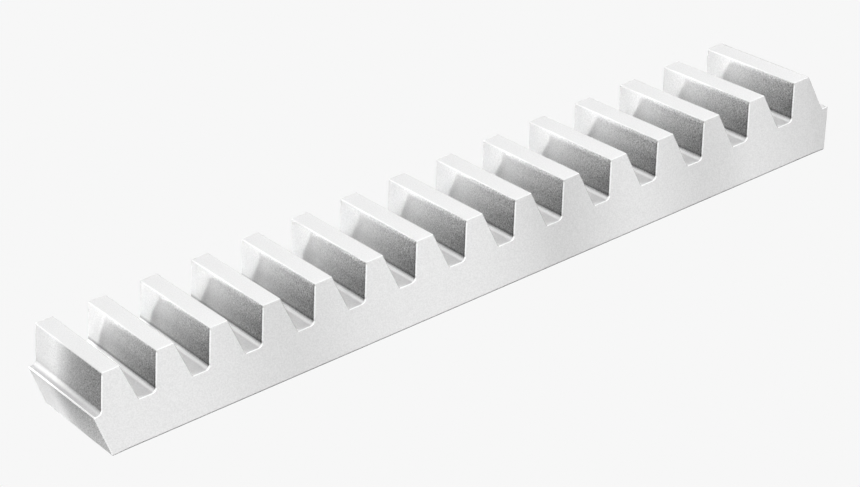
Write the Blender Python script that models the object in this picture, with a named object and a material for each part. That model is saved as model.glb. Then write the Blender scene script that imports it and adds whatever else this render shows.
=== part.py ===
"""Straight-toothed gear rack, moulded in one piece from white acetal resin.

A solid base bar carries fifteen straight teeth along its top.  The bar runs a short root land past the
outer teeth, and its end faces lean inwards towards the underside, so that racks laid end to end touch
only along their top edges.

Frame: X along the rack, Y across the face width, Z up.  The origin is at the middle of the underside.
"""

import math

import bmesh
import bpy
from mathutils import Vector

# Tooth system: every gear dimension follows from the module (1 mm) and the pressure angle.
MODULE = 0.001
TEETH = 15
PRESSURE_ANGLE = math.radians(14.5)
PITCH = math.pi * MODULE
ADDENDUM = 1.0 * MODULE
DEDENDUM = 1.2 * MODULE

# The bar that carries the teeth.
FACE_WIDTH = 8.5 * MODULE
HEIGHT = 4.65 * MODULE
END_CLEARANCE = 0.06 * MODULE
LEFT_UNDERCUT = math.radians(11.0)
RIGHT_UNDERCUT = math.radians(15.5)

# Radii left by the mould: the corners of the side view, the edges of the side faces, and the tooth roots.
CORNER_RADIUS = 0.08 * MODULE
CORNER_SEGMENTS = 4
EDGE_RADIUS = 0.05 * MODULE
EDGE_SEGMENTS = 2
LEFT_FILLET_RADIUS = 0.3 * MODULE
RIGHT_FILLET_RADIUS = 0.1 * MODULE
FILLET_SEGMENTS = 5
SHARP_ANGLE = math.radians(35.0)

# Levels and half sizes that follow from the values above.
PITCH_LINE_Z = HEIGHT - ADDENDUM
ROOT_Z = PITCH_LINE_Z - DEDENDUM
HALF_LENGTH = TEETH * PITCH / 2 - END_CLEARANCE
UP = math.pi / 2
DOWN = -math.pi / 2

RESIN_COLOR = (0.82, 0.82, 0.81, 1.0)
RESIN_ROUGHNESS = 0.42


def clear_scene():
    for old in list(bpy.data.objects):
        bpy.data.objects.remove(old, do_unlink=True)


def arc(centre_x, centre_z, radius, start, stop, segments):
    """Points on an arc, from the angle start to the angle stop."""
    angles = [start + (stop - start) * step / segments for step in range(segments + 1)]
    return [(centre_x + radius * math.cos(angle), centre_z + radius * math.sin(angle)) for angle in angles]


def round_corner(x, z, start, stop):
    """A convex corner at (x, z), rounded, between a surface facing start and one facing stop."""
    reach = CORNER_RADIUS / math.cos((start - stop) / 2)
    middle = (start + stop) / 2
    centre_x = x - reach * math.cos(middle)
    centre_z = z - reach * math.sin(middle)
    return arc(centre_x, centre_z, CORNER_RADIUS, start, stop, CORNER_SEGMENTS)


def half_thickness(z):
    """Half of a tooth's thickness at the height z."""
    return PITCH / 4 - (z - PITCH_LINE_Z) * math.tan(PRESSURE_ANGLE)


def half_tooth(middle_x, radius):
    """The right half of a tooth, from the tip land down to the root land, with a root fillet of this radius."""
    tip = round_corner(middle_x + half_thickness(HEIGHT), HEIGHT, UP, PRESSURE_ANGLE)
    centre_x = middle_x + half_thickness(ROOT_Z) + radius * math.tan((UP - PRESSURE_ANGLE) / 2)
    start = math.pi + PRESSURE_ANGLE
    stop = math.pi + UP
    return tip + arc(centre_x, ROOT_Z + radius, radius, start, stop, FILLET_SEGMENTS)


def mirrored(points, middle_x):
    return [(2 * middle_x - x, z) for x, z in reversed(points)]


def end_outline(undercut):
    """The right end of the bar: its top corner, the leaning end face and its bottom corner."""
    turn = (UP + undercut) / 2
    corner_gain = CORNER_RADIUS * (math.cos((UP - undercut) / 2) / math.cos(turn) - 1)
    top_x = HALF_LENGTH + corner_gain
    foot_x = top_x - ROOT_Z * math.tan(undercut)
    return round_corner(top_x, ROOT_Z, UP, -undercut) + round_corner(foot_x, 0.0, -undercut, DOWN)


def rack_outline():
    """The side view of the rack, clockwise from the left end of the underside."""
    outline = mirrored(end_outline(LEFT_UNDERCUT), 0.0)
    for index in range(TEETH):
        middle_x = (index - (TEETH - 1) / 2) * PITCH
        outline += mirrored(half_tooth(middle_x, LEFT_FILLET_RADIUS), middle_x)
        outline += half_tooth(middle_x, RIGHT_FILLET_RADIUS)
    return outline + end_outline(RIGHT_UNDERCUT)


def make_resin():
    resin = bpy.data.materials.new("white_resin")
    resin.use_nodes = True
    shader = resin.node_tree.nodes["Principled BSDF"]
    shader.inputs["Base Color"].default_value = RESIN_COLOR
    shader.inputs["Roughness"].default_value = RESIN_ROUGHNESS
    shader.inputs["Metallic"].default_value = 0.0
    return resin


def make_gear_rack():
    """Extrude the side view across the face width and round the edges of its two side faces."""
    model = bmesh.new()
    side = [model.verts.new((x, -FACE_WIDTH / 2, z)) for x, z in rack_outline()]
    face = model.faces.new(side)
    result = bmesh.ops.extrude_face_region(model, geom=[face])
    moved = [item for item in result["geom"] if isinstance(item, bmesh.types.BMVert)]
    bmesh.ops.translate(model, vec=Vector((0.0, FACE_WIDTH, 0.0)), verts=moved)
    bmesh.ops.recalc_face_normals(model, faces=model.faces)

    mesh = bpy.data.meshes.new("gear_rack")
    model.to_mesh(mesh)
    model.free()
    mesh.shade_smooth()
    mesh.set_sharp_from_angle(angle=SHARP_ANGLE)
    mesh.materials.append(make_resin())
    rack = bpy.data.objects.new("gear_rack", mesh)
    bpy.context.scene.collection.objects.link(rack)

    rounding = rack.modifiers.new("side_edges", "BEVEL")
    rounding.width = EDGE_RADIUS
    rounding.segments = EDGE_SEGMENTS
    rounding.limit_method = "ANGLE"
    rounding.angle_limit = SHARP_ANGLE
    rounding.use_clamp_overlap = False
    return rack


clear_scene()
make_gear_rack()
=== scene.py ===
"""A white acetal gear rack on a pale seamless floor, in soft studio light."""

import math
from collections import namedtuple

import bmesh
import bpy
from mathutils import Matrix, Vector


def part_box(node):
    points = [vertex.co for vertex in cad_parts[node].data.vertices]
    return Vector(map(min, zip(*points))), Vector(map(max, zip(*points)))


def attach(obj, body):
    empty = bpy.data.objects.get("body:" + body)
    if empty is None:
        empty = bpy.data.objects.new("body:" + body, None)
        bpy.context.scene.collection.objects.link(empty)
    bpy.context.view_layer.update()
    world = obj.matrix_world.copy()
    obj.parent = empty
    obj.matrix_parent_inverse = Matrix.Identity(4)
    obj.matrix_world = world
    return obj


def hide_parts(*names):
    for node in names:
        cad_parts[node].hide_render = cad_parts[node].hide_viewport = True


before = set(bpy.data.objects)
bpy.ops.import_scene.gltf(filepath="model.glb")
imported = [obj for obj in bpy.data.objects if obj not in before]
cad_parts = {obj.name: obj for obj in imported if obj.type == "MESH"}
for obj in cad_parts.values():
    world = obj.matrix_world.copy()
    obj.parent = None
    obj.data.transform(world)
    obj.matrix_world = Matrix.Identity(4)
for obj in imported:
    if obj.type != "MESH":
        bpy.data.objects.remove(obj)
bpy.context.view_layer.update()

# Driving dimensions: the CAD box gives the rack's size, and the module comes from its height.
RACK_LOW, RACK_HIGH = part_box("gear_rack")
MODULES_HIGH = 4.65
MODULE = (RACK_HIGH.z - RACK_LOW.z) / MODULES_HIGH
TEETH = 15
PITCH = math.pi * MODULE
PRESSURE_ANGLE = math.radians(14.5)
ADDENDUM = 1.0 * MODULE
DEDENDUM = 1.2 * MODULE
TIP_Z = RACK_HIGH.z
PITCH_LINE_Z = TIP_Z - ADDENDUM
ROOT_Z = PITCH_LINE_Z - DEDENDUM
HALF_LENGTH = (RACK_HIGH.x - RACK_LOW.x) / 2
HALF_WIDTH = (RACK_HIGH.y - RACK_LOW.y) / 2
LEFT_UNDERCUT = math.radians(11.0)
RIGHT_UNDERCUT = math.radians(15.5)
UP = math.pi / 2
DOWN = -math.pi / 2

# Radii left by the mould: the side view's corners and root fillets, then the edges of the two side faces,
# which differ between surfaces that face up, left, right and down, and are narrower at the corners.
CORNER_RADIUS = 0.08 * MODULE
LEFT_FILLET_RADIUS = 0.3 * MODULE
RIGHT_FILLET_RADIUS = 0.1 * MODULE
EDGE_RADIUS = 0.05 * MODULE
LEFT_EDGE_RADIUS = 0.1 * MODULE
RIGHT_EDGE_RADIUS = 0.08 * MODULE
BASE_EDGE_RADIUS = 0.12 * MODULE
CORNER_EDGE_RADIUS = 0.075 * MODULE

# How finely each surface is divided.
CORNER_STEPS = 6
FILLET_STEPS = 8
EDGE_STEPS = 6
WIDTH_STEPS = 12

# Edge values paint highlights and shade lines into the colour: how much lighter (up to 1) or darker (down
# to -1) than the body a place is. These are for the rounded edges of the side faces, and then how strongly
# they show at the front and at the back.
LIT_EDGE = 1.0
ROOT_EDGE = 0.25
TIP_EDGE = 0.1
RIGHT_EDGE = -0.8
BASE_EDGE = -1.0
FRONT_STRENGTH = 1.0
BACK_STRENGTH = 0.35

# A thin darker line runs down each left-hand flank, just behind its lit front edge.
SHADE_LINE = -0.6
SHADE_LINE_WIDTH = 0.2 * MODULE
SHADE_LINE_SHARPNESS = 8

# A surface mostly or fully faces an axis where its normal's component along it is more than this.
MOSTLY = 0.5
FULLY = 0.9

# Edge values of one side of a tooth: at its tip corner, at the foot of its flank, along its root fillet,
# and down its flank, as (share of the way down, edge value). Positive values are painted highlights, such
# as the light band along the left root fillets; negative ones are painted shade lines.
ToothSide = namedtuple("ToothSide", "corner foot fillet flank")
SHADED_FLANK = ((0.06, 0.0), (0.25, 0.0), (0.5, 0.0), (0.75, 0.0), (0.92, -0.12))
PLAIN_FLANK = tuple((share, 0.0) for share, value in SHADED_FLANK)
LEFT_SIDE = ToothSide(0.25, -0.8, 0.7, SHADED_FLANK)
FIRST_LEFT_SIDE = ToothSide(0.25, -0.3, 0.35, SHADED_FLANK)
RIGHT_SIDE = ToothSide(-0.2, 0.0, 0.0, PLAIN_FLANK)
LAST_RIGHT_SIDE = ToothSide(-1.0, 0.0, 0.0, PLAIN_FLANK)

# The same for the two ends: their top corners, a painted highlight on the left and a painted shade line on
# the right, and their leaning faces.
LEFT_END_CORNER = 1.0
RIGHT_END_CORNER = -1.0
END_FACE = ((0.08, 0.0), (0.92, 0.0))

# White resin, with painted shade and painted highlights. SHADE_STEPS are (position, grey), where the
# positions 0 to 1 are the edge values -1 to 1. TOP_ROUGHNESS is added where a surface faces up. Light edges
# are smoother and glow a
# little: a painted highlight.
SHADE_STEPS = ((0.0, 0.2), (0.5, 0.7), (1.0, 0.95))
RESIN_IOR = 1.48
SPECULAR_LEVEL = 0.35
RESIN_ROUGHNESS = 0.5
ROUGHNESS_SPREAD = 0.06
EDGE_ROUGHNESS = 0.35
TOP_ROUGHNESS = 0.45
PAINTED_HIGHLIGHT_GLOW = 0.45

# Faint clouds, a fine mould grain, and a speckle that is strongest at the front of the left-hand flanks.
CLOUD_SIZE = 2.2 * MODULE
CLOUD_DETAIL = 3.0
CLOUD_DEPTH = 0.02
GRAIN_SIZE = 0.1 * MODULE
GRAIN_DETAIL = 2.0
GRAIN_DEPTH = 0.005 * MODULE
SPECKLE_SIZE = 0.075 * MODULE
SPECKLE_DETAIL = 0.0
SPECKLE = 0.2
FLANK_SPECKLE = 1.5
FLANK_SPECKLE_FOCUS = 8.0

# The tooth tips, above TIP_LEVEL of the height, carry painted light: lighter than the body, and less so
# towards the back.
TIP_LEVEL = 0.98
PAINTED_TIP_LIGHT = 0.15
TIP_FADE = -0.07

# Soft bands of painted light and shade along the front face: (share of the length, tone), where the tones 0
# to 1 darken or lighten the body by up to the band depth. The clouds make the bands waver a little.
PAINTED_BAND_STEPS = (
    (0.02, 0.62), (0.12, 0.62), (0.19, 0.50), (0.27, 0.20), (0.36, 0.62), (0.50, 0.66), (0.58, 0.38),
    (0.635, 0.0), (0.72, 0.74), (0.80, 0.26), (0.85, 0.22), (0.90, 0.62), (0.99, 0.18),
)
PAINTED_BAND_DEPTH = 0.25
BAND_WAVER = 0.03

# The same for the left-hand flanks and the left end, from their front to their back: painted shade towards
# their front and painted light further back.
FLANK_PAINTED_SHADING_STEPS = ((0.0, 0.0), (0.2, 0.04), (0.45, 0.48), (0.6, 0.86), (0.7, 1.0), (0.8, 0.72), (1.0, 0.5))
FLANK_PAINTED_SHADING_DEPTH = 0.35

# The pale paper that the rack lies on.
PAPER_LIGHT = 0.93
PAPER_RADIUS = 1.2
PAPER_SEGMENTS = 64
FLOOR_GAP = 0.02 * MODULE

# Large soft lights far away: azimuth from the front and elevation in degrees, and strength.
FAR_LIGHT_SPREAD = 20.0
FAR_LIGHTS = {
    "key_front": (7, 28, 3.45),
    "right_side": (75, 30, 1.47),
    "back_right": (150, 20, 0.48),
    "back_top": (165, 35, 0.52),
    "left_back": (240, 25, 0.98),
    "left_low": (260, 10, 0.36),
    "right_low": (93, -4, 0.6),
}

# Panels close to the rack: place, target and size in modules, power in milliwatts, and spread in degrees.
NEAR_PANELS = {
    "back_beam": ((-24.4, 34.0, 4.5), (3.6, 3.0, 2.3), (42, 14), 1.1, 8.0),
    "back_corner": ((-30, 18.25, 4), (-21, 4, 3), (4, 4), 0.3, 180.0),
    "left_bounce": ((-30, 10, -10), (-23, 2, 1), (5, 5), 1.0, 180.0),
}

# Weak light from every side.
FILL_LIGHT = 0.03

# The camera: angles, lens in millimetres, distance, and where it aims, in modules from the rack's centre.
VIEW_AZIMUTH = math.radians(-25.96)
VIEW_ELEVATION = math.radians(24.39)
VIEW_ROLL = math.radians(-11.41)
VIEW_LENS = 127.8
VIEW_SENSOR_WIDTH = 36.0
VIEW_DISTANCE = 168.07 * MODULE
VIEW_AIM = Vector((-0.763, 0.194, -0.352))
VIEW_CLIP_END = 10.0


class Station:
    """A point of the rack's side view, the way its surface faces, and its edge value.

    Where it meets a side face, the edge is rounded with a radius of widest at most.
    """

    def __init__(self, x, z, angle, edge=0.0, widest=BASE_EDGE_RADIUS):
        self.x = x
        self.z = z
        self.edge = edge
        self.widest = widest
        self.facing = Vector((math.cos(angle), 0.0, math.sin(angle)))

    def at(self, y):
        return Vector((self.x, y, self.z))

    def rounded(self, side, tilt):
        """The point where the edge towards a side face (-1 front, 1 back) has turned by tilt towards it."""
        radius = EDGE_RADIUS + (BASE_EDGE_RADIUS - EDGE_RADIUS) * max(0.0, -self.facing.z) ** 2
        radius += (LEFT_EDGE_RADIUS - EDGE_RADIUS) * max(0.0, -self.facing.x) ** 2
        radius += (RIGHT_EDGE_RADIUS - EDGE_RADIUS) * max(0.0, self.facing.x) ** 2
        radius = min(radius, self.widest)
        y = side * (HALF_WIDTH - radius * (1 - math.sin(tilt)))
        return self.at(y) - self.facing * radius * (1 - math.cos(tilt))

    def side_edge(self):
        """The edge value of the rounded edge where this station meets a side face: a painted highlight or
        painted shade line.
        """
        if self.facing.z < -MOSTLY:
            return BASE_EDGE
        if self.facing.x > MOSTLY:
            return RIGHT_EDGE
        if self.z > TIP_Z - CORNER_RADIUS:
            return TIP_EDGE
        return ROOT_EDGE + (LIT_EDGE - ROOT_EDGE) * max(0.0, -self.facing.x)

    def shade_line(self):
        """The edge value of the thin darker line behind the front edge of left-hand flanks."""
        on_left_flank = self.facing.x < -FULLY and self.facing.z > 0.0
        return SHADE_LINE if on_left_flank else 0.0

    def edge_at(self, side, tilt):
        """The edge value where the edge towards a side face has turned by tilt towards it."""
        strength = FRONT_STRENGTH if side < 0 else BACK_STRENGTH
        line = self.shade_line() if side < 0 else 0.0
        edge = self.edge * math.cos(tilt) + strength * self.side_edge() * math.sin(2 * tilt) ** 2
        return edge + line * math.cos(tilt) ** SHADE_LINE_SHARPNESS


def round_corner(x, z, start, stop, edge):
    """Stations of a convex corner at (x, z), between a surface facing start and one facing stop."""
    reach = CORNER_RADIUS / math.cos((start - stop) / 2)
    middle = (start + stop) / 2
    centre_x = x - reach * math.cos(middle)
    centre_z = z - reach * math.sin(middle)
    stations = []
    for step in range(CORNER_STEPS + 1):
        share = step / CORNER_STEPS
        angle = start + (stop - start) * share
        corner_x = centre_x + CORNER_RADIUS * math.cos(angle)
        corner_z = centre_z + CORNER_RADIUS * math.sin(angle)
        value = edge * math.sin(math.pi * share)
        stations.append(Station(corner_x, corner_z, angle, value, CORNER_EDGE_RADIUS))
    return stations


def straight(first, last, angle, values):
    """Stations on the straight line between two others. Each value is (share of the line, edge value)."""
    stations = []
    for share, value in values:
        x = first.x + (last.x - first.x) * share
        z = first.z + (last.z - first.z) * share
        stations.append(Station(x, z, angle, value))
    return stations


def half_thickness(z):
    """Half of a tooth's thickness at the height z."""
    return PITCH / 4 - (z - PITCH_LINE_Z) * math.tan(PRESSURE_ANGLE)


def half_tooth(middle_x, radius, side):
    """The right half of a tooth, from the tip down, with its root fillet's radius and its edge values."""
    tip = round_corner(middle_x + half_thickness(TIP_Z), TIP_Z, UP, PRESSURE_ANGLE, side.corner)
    centre_x = middle_x + half_thickness(ROOT_Z) + radius * math.tan((UP - PRESSURE_ANGLE) / 2)
    fillet = []
    for step in range(FILLET_STEPS + 1):
        share = step / FILLET_STEPS
        angle = PRESSURE_ANGLE + (UP - PRESSURE_ANGLE) * share
        x = centre_x - radius * math.cos(angle)
        z = ROOT_Z + radius * (1 - math.sin(angle))
        # Left-hand sides get a painted shade line at the flank's foot and a painted highlight band along
        # the fillet.
        value = side.foot if step == 0 else side.fillet * math.sin(math.pi * share) ** 2
        fillet.append(Station(x, z, angle, value))
    return tip + straight(tip[-1], fillet[0], PRESSURE_ANGLE, side.flank) + fillet


def mirrored(stations, middle_x):
    """The same stations on the other side of the line x = middle_x, in the opposite order."""
    result = []
    for station in reversed(stations):
        angle = math.atan2(station.facing.z, -station.facing.x)
        result.append(Station(2 * middle_x - station.x, station.z, angle, station.edge, station.widest))
    return result


def end_stations(undercut, corner):
    """The right end of the bar: its top corner, the leaning end face and its bottom corner."""
    turn = (UP + undercut) / 2
    corner_gain = CORNER_RADIUS * (math.cos((UP - undercut) / 2) / math.cos(turn) - 1)
    top_x = HALF_LENGTH + corner_gain
    foot_x = top_x - (ROOT_Z - RACK_LOW.z) * math.tan(undercut)
    top = round_corner(top_x, ROOT_Z, UP, -undercut, corner)
    bottom = round_corner(foot_x, RACK_LOW.z, -undercut, DOWN, 0.0)
    return top + straight(top[-1], bottom[0], -undercut, END_FACE) + bottom


def side_view():
    """All stations, clockwise from the underside's left corner, and the index where each tooth starts."""
    stations = mirrored(end_stations(LEFT_UNDERCUT, LEFT_END_CORNER), 0.0)
    tooth_starts = []
    for index in range(TEETH):
        middle_x = (index - (TEETH - 1) / 2) * PITCH
        left_side = LEFT_SIDE if index > 0 else FIRST_LEFT_SIDE
        right_side = RIGHT_SIDE if index < TEETH - 1 else LAST_RIGHT_SIDE
        tooth_starts.append(len(stations))
        stations += mirrored(half_tooth(middle_x, LEFT_FILLET_RADIUS, left_side), middle_x)
        stations += half_tooth(middle_x, RIGHT_FILLET_RADIUS, right_side)
    stations += end_stations(RIGHT_UNDERCUT, RIGHT_END_CORNER)
    return stations, tooth_starts


def edge_rings(stations, side):
    """The rings round the edge of one side face (-1 front, 1 back), the last of which borders that face."""
    rings = []
    for step in range(EDGE_STEPS + 1):
        tilt = UP * step / EDGE_STEPS
        sideways = Vector((0.0, side * math.sin(tilt), 0.0))
        ring = []
        for station in stations:
            normal = station.facing * math.cos(tilt) + sideways
            ring.append((station.rounded(side, tilt), normal, station.edge_at(side, tilt)))
        rings.append(ring)
    return rings


def rings_of(stations):
    """(point, normal, edge value) of each station, ring by ring from the front face to the back face."""
    rings = list(reversed(edge_rings(stations, -1)))
    across = [HALF_WIDTH * (2 * step / WIDTH_STEPS - 1) for step in range(1, WIDTH_STEPS)]
    for y in [SHADE_LINE_WIDTH - HALF_WIDTH] + across:
        rings.append([(station.at(y), station.facing, station.edge) for station in stations])
    return rings + edge_rings(stations, 1)


def underside_stations(stations, tooth_starts):
    """Points along the underside, under the ends of each tooth's root fillets, from right to left."""
    per_tooth = tooth_starts[1] - tooth_starts[0]
    limit = (TEETH - 1) / 2 * PITCH
    xs = []
    for start in tooth_starts:
        xs.append(max(stations[start].x, -limit))
        xs.append(min(stations[start + per_tooth - 1].x, limit))
    return [Station(x, RACK_LOW.z, DOWN) for x in reversed(xs)]


def cap_faces(top_count, tooth_starts, total):
    """Faces that fill a side face: a ladder up each tooth, columns under teeth and gaps, and both ends."""
    per_tooth = tooth_starts[1] - tooth_starts[0]
    faces = []
    for index, start in enumerate(tooth_starts):
        last = start + per_tooth - 1
        for step in range(per_tooth // 2 - 1):
            faces.append((start + step, start + step + 1, last - step - 1, last - step))
        under = total - 1 - 2 * index
        faces.append((start, last, under - 1, under))
        if index + 1 < TEETH:
            faces.append((last, tooth_starts[index + 1], under - 2, under - 1))
    faces.append(tuple(range(0, tooth_starts[0] + 1)) + (total - 1,))
    faces.append(tuple(range(tooth_starts[-1] + per_tooth - 1, top_count + 1)))
    return faces


def make_rack():
    """The rack as rings of stations, from front to back, with exact normals and edge values."""
    stations, tooth_starts = side_view()
    top_count = len(stations)
    stations += underside_stations(stations, tooth_starts)
    total = len(stations)
    rings = rings_of(stations)
    points = []
    normals = []
    edges = []
    for ring in rings:
        for point, normal, edge in ring:
            points.append(tuple(point))
            normals.append(tuple(normal))
            edges.append(edge)
    faces = []
    for ring in range(len(rings) - 1):
        for number in range(total):
            here = ring * total + number
            beside = ring * total + (number + 1) % total
            faces.append((here, beside, beside + total, here + total))
    last_ring = (len(rings) - 1) * total
    for face in cap_faces(top_count, tooth_starts, total):
        faces.append(tuple(reversed(face)))
        faces.append(tuple(last_ring + number for number in face))
    mesh = bpy.data.meshes.new("rack_moulding")
    mesh.from_pydata(points, [], faces)
    edge_layer = mesh.attributes.new("edge", "FLOAT", "POINT")
    edge_layer.data.foreach_set("value", edges)
    mesh.shade_smooth()
    mesh.normals_split_custom_set_from_vertices(normals)
    rack = bpy.data.objects.new("rack_moulding", mesh)
    bpy.context.scene.collection.objects.link(rack)
    return rack


def add_node(tree, kind, **settings):
    node = tree.nodes.new(kind)
    for name, value in settings.items():
        setattr(node, name, value)
    return node


def noise(tree, place, size, detail):
    """Noise whose features are about size across, in metres."""
    texture = add_node(tree, "ShaderNodeTexNoise")
    texture.inputs["Scale"].default_value = 1.0 / size
    texture.inputs["Detail"].default_value = detail
    tree.links.new(place, texture.inputs["Vector"])
    return texture.outputs["Fac"]


def remap(tree, value, low, high, start=0.0):
    """A map of a value from the range start to 1 on to the range low to high."""
    ranged = add_node(tree, "ShaderNodeMapRange")
    ranged.inputs["From Min"].default_value = start
    ranged.inputs["To Min"].default_value = low
    ranged.inputs["To Max"].default_value = high
    tree.links.new(value, ranged.inputs["Value"])
    return ranged.outputs["Result"]


def calculate(tree, operation, first, second, third=None, clamp=False):
    """One step of arithmetic on values, each of which is a number or another node's output."""
    node = add_node(tree, "ShaderNodeMath", operation=operation, use_clamp=clamp)
    for socket, value in zip(node.inputs, (first, second, third)):
        if isinstance(value, bpy.types.NodeSocket):
            tree.links.new(value, socket)
        elif value is not None:
            socket.default_value = value
    return node.outputs["Value"]


def grey_ramp(tree, value, steps, interpolation):
    """A ramp of greys, whose steps are (position, grey)."""
    ramp = add_node(tree, "ShaderNodeValToRGB")
    ramp.color_ramp.interpolation = interpolation
    while len(ramp.color_ramp.elements) < len(steps):
        ramp.color_ramp.elements.new(0.5)
    for element, (position, grey) in zip(ramp.color_ramp.elements, steps):
        element.position = position
        element.color = (grey, grey, grey, 1.0)
    tree.links.new(value, ramp.inputs["Fac"])
    return ramp.outputs["Color"]


def split_vector(tree, vector):
    """The outputs X, Y and Z of a vector."""
    parts = add_node(tree, "ShaderNodeSeparateXYZ")
    tree.links.new(vector, parts.inputs["Vector"])
    return parts.outputs


def body_tone_and_painted_shading(tree, place, share, normal):
    """How light the resin is before its edges: clouds, painted bands of light and shade, painted shade on
    the flank fronts, speckle and painted light on the tips.

    share is how far along, across and up the rack a place is, from 0 to 1.
    """
    cloud = noise(tree, place, CLOUD_SIZE, CLOUD_DETAIL)
    clouds = remap(tree, cloud, 1.0 - CLOUD_DEPTH, 1.0 + CLOUD_DEPTH)
    # Painted shade at the front of left-facing surfaces, painted light towards their back.
    left = calculate(tree, "MULTIPLY", normal["X"], -1.0, clamp=True)
    flank_grey = grey_ramp(tree, share["Y"], FLANK_PAINTED_SHADING_STEPS, "B_SPLINE")
    flank = remap(tree, flank_grey, -FLANK_PAINTED_SHADING_DEPTH, FLANK_PAINTED_SHADING_DEPTH)
    graded = calculate(tree, "MULTIPLY_ADD", flank, left, clouds)

    # Painted bands of light and shade across the front face.
    front = calculate(tree, "MULTIPLY", normal["Y"], -1.0, clamp=True)
    wavering = calculate(tree, "MULTIPLY_ADD", cloud, BAND_WAVER, share["X"])
    band_grey = grey_ramp(tree, wavering, PAINTED_BAND_STEPS, "B_SPLINE")
    band = remap(tree, band_grey, -PAINTED_BAND_DEPTH, PAINTED_BAND_DEPTH)
    banded = calculate(tree, "MULTIPLY_ADD", band, front, graded)

    on_flank = calculate(tree, "POWER", left, FLANK_SPECKLE_FOCUS)
    nearer = calculate(tree, "SUBTRACT", 1.0, share["Y"])
    flank_front = calculate(tree, "MULTIPLY", on_flank, nearer)
    depth = calculate(tree, "MULTIPLY_ADD", flank_front, FLANK_SPECKLE, SPECKLE)
    speckle = calculate(tree, "SUBTRACT", noise(tree, place, SPECKLE_SIZE, SPECKLE_DETAIL), 0.5)
    speckled = calculate(tree, "MULTIPLY_ADD", speckle, depth, banded)

    # Painted light on the tips, fading towards the back.
    high = calculate(tree, "GREATER_THAN", share["Z"], TIP_LEVEL)
    tip = calculate(tree, "MULTIPLY", high, normal["Z"])
    painted_tip_light = calculate(tree, "MULTIPLY_ADD", share["Y"], TIP_FADE, PAINTED_TIP_LIGHT)
    return calculate(tree, "MULTIPLY_ADD", tip, painted_tip_light, speckled)


def make_resin():
    """White acetal with painted shade and highlights, whose light edges are also smoother and glow a little
    as a painted highlight.
    """
    resin = bpy.data.materials.new("white_resin_satin")
    resin.use_nodes = True
    tree = resin.node_tree
    shader = tree.nodes["Principled BSDF"]
    shader.inputs["IOR"].default_value = RESIN_IOR
    shader.inputs["Specular IOR Level"].default_value = SPECULAR_LEVEL
    shader.inputs["Emission Color"].default_value = (1.0, 1.0, 1.0, 1.0)
    coordinates = add_node(tree, "ShaderNodeTexCoord")
    place = coordinates.outputs["Object"]
    normal = split_vector(tree, coordinates.outputs["Normal"])
    share = split_vector(tree, coordinates.outputs["Generated"])
    edge = add_node(tree, "ShaderNodeAttribute", attribute_name="edge").outputs["Fac"]
    grain = noise(tree, place, GRAIN_SIZE, GRAIN_DETAIL)

    # Edge values become painted shade lines and painted highlights in the base colour.
    shade = grey_ramp(tree, remap(tree, edge, 0.0, 1.0, -1.0), SHADE_STEPS, "LINEAR")
    color = add_node(tree, "ShaderNodeVectorMath", operation="SCALE")
    tree.links.new(shade, color.inputs["Vector"])
    tree.links.new(body_tone_and_painted_shading(tree, place, share, normal), color.inputs["Scale"])
    tree.links.new(color.outputs["Vector"], shader.inputs["Base Color"])

    # Light edges glow a little: a painted highlight.
    glow = calculate(tree, "MULTIPLY", edge, PAINTED_HIGHLIGHT_GLOW, clamp=True)
    tree.links.new(glow, shader.inputs["Emission Strength"])

    matt = remap(tree, grain, RESIN_ROUGHNESS - ROUGHNESS_SPREAD, RESIN_ROUGHNESS + ROUGHNESS_SPREAD)
    smoothed = calculate(tree, "MULTIPLY_ADD", edge, EDGE_ROUGHNESS - RESIN_ROUGHNESS, matt)
    top = calculate(tree, "MULTIPLY", normal["Z"], TOP_ROUGHNESS, clamp=True)
    tree.links.new(calculate(tree, "ADD", smoothed, top), shader.inputs["Roughness"])

    bump = add_node(tree, "ShaderNodeBump")
    bump.inputs["Strength"].default_value = 1.0
    bump.inputs["Distance"].default_value = GRAIN_DEPTH
    tree.links.new(grain, bump.inputs["Height"])
    tree.links.new(bump.outputs["Normal"], shader.inputs["Normal"])
    return resin


def make_paper():
    paper = bpy.data.materials.new("pale_paper")
    paper.use_nodes = True
    tree = paper.node_tree
    tree.nodes.clear()
    glow = add_node(tree, "ShaderNodeEmission")
    glow.inputs["Color"].default_value = (PAPER_LIGHT, PAPER_LIGHT, PAPER_LIGHT, 1.0)
    out = add_node(tree, "ShaderNodeOutputMaterial")
    tree.links.new(glow.outputs["Emission"], out.inputs["Surface"])
    return paper


def make_floor():
    """Seamless pale paper: a floor and a dome over it, which give off an even light of their own, so that
    they take no shadow.
    """
    paper = make_paper()
    for name in ("pale_floor", "pale_backdrop"):
        shape = bmesh.new()
        if name == "pale_floor":
            bmesh.ops.create_circle(shape, cap_ends=True, segments=PAPER_SEGMENTS, radius=PAPER_RADIUS)
        else:
            bands = PAPER_SEGMENTS // 2
            bmesh.ops.create_uvsphere(shape, u_segments=2 * bands, v_segments=bands, radius=PAPER_RADIUS)
        mesh = bpy.data.meshes.new(name)
        shape.to_mesh(mesh)
        shape.free()
        mesh.materials.append(paper)
        paper_sheet = bpy.data.objects.new(name, mesh)
        paper_sheet.location.z = RACK_LOW.z - FLOOR_GAP
        paper_sheet.visible_diffuse = False
        paper_sheet.visible_glossy = False
        paper_sheet.visible_shadow = False
        bpy.context.scene.collection.objects.link(paper_sheet)


def direction(azimuth, elevation):
    """A unit vector towards something at this azimuth, counted from the front, and this elevation."""
    level = math.cos(elevation)
    return Vector((math.sin(azimuth) * level, -math.cos(azimuth) * level, math.sin(elevation)))


def place_light(name, data, place, target):
    light = bpy.data.objects.new(name, data)
    light.location = place
    light.rotation_euler = (place - target).to_track_quat("Z", "Y").to_euler()
    light.visible_camera = False
    bpy.context.scene.collection.objects.link(light)


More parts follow.
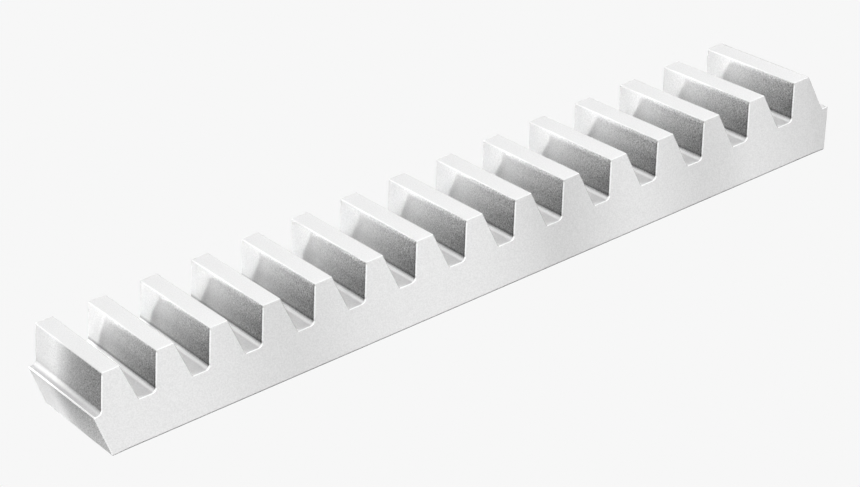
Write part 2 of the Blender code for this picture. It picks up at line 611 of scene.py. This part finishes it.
def make_lights():
    """Studio lights. A far light's strength is what it sends to a surface that faces it."""
    for name, (azimuth, elevation, strength) in FAR_LIGHTS.items():
        data = bpy.data.lights.new(name, "SUN")
        data.energy = strength
        data.angle = math.radians(FAR_LIGHT_SPREAD)
        away = direction(math.radians(azimuth), math.radians(elevation))
        place_light(name, data, away * PAPER_RADIUS, Vector((0.0, 0.0, 0.0)))
    for name, (place, target, size, power, spread) in NEAR_PANELS.items():
        data = bpy.data.lights.new(name, "AREA")
        data.shape = "RECTANGLE"
        data.size = size[0] * MODULE
        data.size_y = size[1] * MODULE
        data.energy = power / 1000.0
        data.spread = math.radians(spread)
        place_light(name, data, Vector(place) * MODULE, Vector(target) * MODULE)
    world = bpy.data.worlds.new("studio_fill")
    world.use_nodes = True
    fill = world.node_tree.nodes["Background"]
    fill.inputs["Color"].default_value = (1.0, 1.0, 1.0, 1.0)
    fill.inputs["Strength"].default_value = FILL_LIGHT
    bpy.context.scene.world = world


def make_camera():
    """A long lens at the rack's front left, above it and rolled so that the rack climbs to the right."""
    backward = direction(VIEW_AZIMUTH, VIEW_ELEVATION)
    level_right = Vector((math.cos(VIEW_AZIMUTH), math.sin(VIEW_AZIMUTH), 0.0))
    level_up = backward.cross(level_right)
    right = level_right * math.cos(VIEW_ROLL) + level_up * math.sin(VIEW_ROLL)
    up = backward.cross(right)
    camera_data = bpy.data.cameras.new("studio_camera")
    camera_data.sensor_width = VIEW_SENSOR_WIDTH
    camera_data.lens = VIEW_LENS
    camera_data.clip_start = MODULE
    camera_data.clip_end = VIEW_CLIP_END
    camera = bpy.data.objects.new("studio_camera", camera_data)
    place = (RACK_LOW + RACK_HIGH) / 2 + VIEW_AIM * MODULE + backward * VIEW_DISTANCE
    camera.matrix_world = Matrix.Translation(place) @ Matrix((right, up, backward)).transposed().to_4x4()
    bpy.context.scene.collection.objects.link(camera)
    bpy.context.scene.camera = camera


rack = make_rack()
rack.data.materials.append(make_resin())
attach(rack, "root")
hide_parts("gear_rack")
make_floor()

make_camera()
make_lights()
bpy.context.scene.view_settings.view_transform = "Standard"
